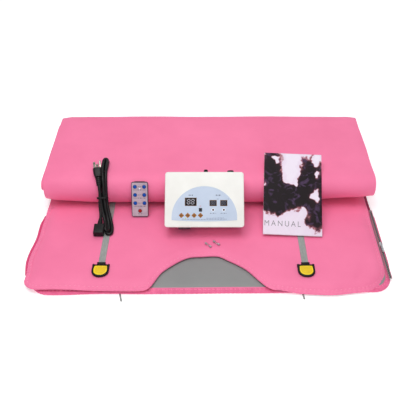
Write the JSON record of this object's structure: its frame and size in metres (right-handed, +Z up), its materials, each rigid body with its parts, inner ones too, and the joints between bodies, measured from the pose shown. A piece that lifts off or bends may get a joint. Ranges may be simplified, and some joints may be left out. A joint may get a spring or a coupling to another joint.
{
  "type": "infrared sauna blanket",
  "caption": "Part-rolled sauna sleeping blanket with neck cut-out, side zip, strap pulls, desktop controller, remote, power lead, booklet and spare fuses.",
  "frame": {"origin": "centre of the blanket's footprint, on the floor, in the plane of the lower cover's underside", "axes": "+Z up, -Y towards the head end with the neck cut-out, +X to the side with the zip"},
  "size_m": [0.804, 0.6065, 0.135],
  "materials": {
    "cover": "smooth coated pink cover cloth",
    "foam": "white insulation",
    "film": "carbon-fibre heating film",
    "lining": "grey wipe-clean lining",
    "webbing": "grey ribbed webbing",
    "black_plastic": "moulded",
    "yellow_rubber": "satin",
    "zip_cloth": "woven tape",
    "zip_teeth": "coil",
    "zip_metal": "plated",
    "white_case": "fine texture",
    "overlay": "printed film",
    "display": "smoked",
    "lamp": "unlit red",
    "board": "printed board with relays",
    "iron": "laminated core",
    "black_gloss": "moulded",
    "screw": "plated",
    "amber_key": "printed",
    "remote_dark": "fine texture",
    "remote_silver": "silver film",
    "blue_button": "satin",
    "red_button": "satin",
    "paper": "uncoated paper",
    "booklet_print": "printed card",
    "cord": "matt PVC",
    "fuse_glass": "glass with nickel caps"
  },
  "bodies": {
    "blanket": {"lower_cover": "cover", "lower_insulation": "foam", "lower_heating_film": "film", "lower_lining": "lining", "rolled_lower_cover": "cover", "rolled_lower_insulation": "foam", "rolled_upper_insulation": "foam", "upper_cover": "cover", "upper_lining": "lining", "upper_heating_film": "film", "upper_insulation": "foam", "pull_straps": "webbing", "tie_tails": "webbing", "side_fold": "cover", "zip_tape": "zip_cloth", "zip_teeth": "zip_teeth"},
    "head_flap": {"flap_cover": "cover", "flap_insulation": "foam", "flap_lining": "lining", "strap_ends": "webbing", "strap_keepers": "black_plastic"},
    "left_pull": {"left_pull_frame": "black_plastic", "left_pull_insert": "yellow_rubber"},
    "right_pull": {"right_pull_frame": "black_plastic", "right_pull_insert": "yellow_rubber"},
    "slider": {"zip_slider": "zip_metal"},
    "slider_tab": {"zip_pull": "zip_metal"},
    "controller": {"controller_base": "white_case", "controller_lid": "white_case", "panel_overlay": "overlay", "number_displays": "display", "indicator_lamps": "lamp", "remote_sensor_eye": "display", "circuit_board": "board", "transformer": "iron", "output_socket": "black_gloss", "mains_inlet": "black_plastic", "case_screws": "screw"},
    "key_power": {"power_key": "amber_key"},
    "key_time": {"time_key": "amber_key"},
    "key_heat": {"heat_key": "amber_key"},
    "key_mode": {"mode_key": "amber_key"},
    "cap": {"fuse_cap": "black_gloss"},
    "remote": {"remote_back": "remote_dark", "remote_front": "remote_silver"},
    "tray": {"battery_tray": "remote_dark", "coin_cell": "screw"},
    "booklet": {"booklet_pages": "paper"},
    "booklet_leaf": {"booklet_cover": "booklet_print"},
    "power_lead": {"power_cord_hank": "cord", "cord_connector": "cord", "power_plug": "cord"},
    "fuses": {"spare_fuses": "fuse_glass"},
    "button_on_left": {"on_left_button": "blue_button"},
    "button_on_right": {"on_right_button": "blue_button"},
    "button_time_left": {"time_left_button": "blue_button"},
    "button_time_right": {"time_right_button": "blue_button"},
    "button_heat_left": {"heat_left_button": "blue_button"},
    "button_heat_right": {"heat_right_button": "blue_button"},
    "button_stop": {"stop_button": "red_button"}
  },
  "joints": [
    {"name": "flap_fold", "type": "hinge", "parent": "blanket", "child": "head_flap", "pos_m": [0, -0.1883, 0.0213], "axis": [-1, 0, 0], "range_deg": [0, 55]},
    {"name": "left_pull_flip", "type": "hinge", "parent": "head_flap", "child": "left_pull", "pos_m": [-0.237, -0.227, 0.02345], "axis": [-1, 0, 0], "range_deg": [0, 120]},
    {"name": "right_pull_flip", "type": "hinge", "parent": "head_flap", "child": "right_pull", "pos_m": [0.2165, -0.227, 0.02345], "axis": [-1, 0, 0], "range_deg": [0, 120]},
    {"name": "zip_run", "type": "slide", "parent": "blanket", "child": "slider", "axis": [0, 1, 0], "range_m": [-0.09, 0.09]},
    {"name": "zip_tab_flip", "type": "hinge", "parent": "slider", "child": "slider_tab", "pos_m": [0.3958, -0.154, 0.0165], "axis": [-1, 0, 0], "range_deg": [0, 150]},
    {"name": "controller_lift", "type": "slide", "parent": "blanket", "child": "controller", "axis": [0, 0, 1], "range_m": [0, 0.12]},
    {"name": "fuse_cap_turn", "type": "hinge", "parent": "controller", "child": "cap", "pos_m": [-0.0051, -0.01547, 0.11381], "axis": [0, 0.7904, 0.6126], "range_deg": [0, 80]},
    {"name": "remote_lift", "type": "slide", "parent": "blanket", "child": "remote", "axis": [0, 0, 1], "range_m": [0, 0.1]},
    {"name": "battery_tray_slide", "type": "slide", "parent": "remote", "child": "tray", "axis": [0, 0.4582, 0.8888], "range_m": [0, 0.022]},
    {"name": "booklet_lift", "type": "slide", "parent": "blanket", "child": "booklet", "axis": [0, 0, 1], "range_m": [0, 0.1]},
    {"name": "booklet_open", "type": "hinge", "parent": "booklet", "child": "booklet_leaf", "pos_m": [0.12811, -0.12924, 0.02733], "axis": [-0.0454, -0.8511, -0.523], "range_deg": [0, 115]},
    {"name": "power_lead_lift", "type": "slide", "parent": "blanket", "child": "power_lead", "axis": [0, 0, 1], "range_m": [0, 0.1]},
    {"name": "fuses_lift", "type": "slide", "parent": "blanket", "child": "fuses", "axis": [0, 0, 1], "range_m": [0, 0.05]},
    {"name": "power_key_press", "type": "slide", "parent": "controller", "child": "key_power", "axis": [0, 0.6126, -0.7904], "range_m": [0, 0.0005], "stiffness_N_per_m": 400, "springref_m": -0.0008},
    {"name": "time_key_press", "type": "slide", "parent": "controller", "child": "key_time", "axis": [0, 0.6126, -0.7904], "range_m": [0, 0.0005], "stiffness_N_per_m": 400, "springref_m": -0.0008},
    {"name": "heat_key_press", "type": "slide", "parent": "controller", "child": "key_heat", "axis": [0, 0.6126, -0.7904], "range_m": [0, 0.0005], "stiffness_N_per_m": 400, "springref_m": -0.0008},
    {"name": "mode_key_press", "type": "slide", "parent": "controller", "child": "key_mode", "axis": [0, 0.6126, -0.7904], "range_m": [0, 0.0005], "stiffness_N_per_m": 400, "springref_m": -0.0008},
    {"name": "on_left_press", "type": "slide", "parent": "remote", "child": "button_on_left", "axis": [0, 0.8888, -0.4582], "range_m": [0, 0.0006], "stiffness_N_per_m": 300, "springref_m": -0.0008},
    {"name": "on_right_press", "type": "slide", "parent": "remote", "child": "button_on_right", "axis": [0, 0.8888, -0.4582], "range_m": [0, 0.0006], "stiffness_N_per_m": 300, "springref_m": -0.0008},
    {"name": "time_left_press", "type": "slide", "parent": "remote", "child": "button_time_left", "axis": [0, 0.8888, -0.4582], "range_m": [0, 0.0006], "stiffness_N_per_m": 300, "springref_m": -0.0008},
    {"name": "time_right_press", "type": "slide", "parent": "remote", "child": "button_time_right", "axis": [0, 0.8888, -0.4582], "range_m": [0, 0.0006], "stiffness_N_per_m": 300, "springref_m": -0.0008},
    {"name": "heat_left_press", "type": "slide", "parent": "remote", "child": "button_heat_left", "axis": [0, 0.8888, -0.4582], "range_m": [0, 0.0006], "stiffness_N_per_m": 300, "springref_m": -0.0008},
    {"name": "heat_right_press", "type": "slide", "parent": "remote", "child": "button_heat_right", "axis": [0, 0.8888, -0.4582], "range_m": [0, 0.0006], "stiffness_N_per_m": 300, "springref_m": -0.0008},
    {"name": "stop_press", "type": "slide", "parent": "remote", "child": "button_stop", "axis": [0, 0.8888, -0.4582], "range_m": [0, 0.0006], "stiffness_N_per_m": 300, "springref_m": -0.0008}
  ]
}
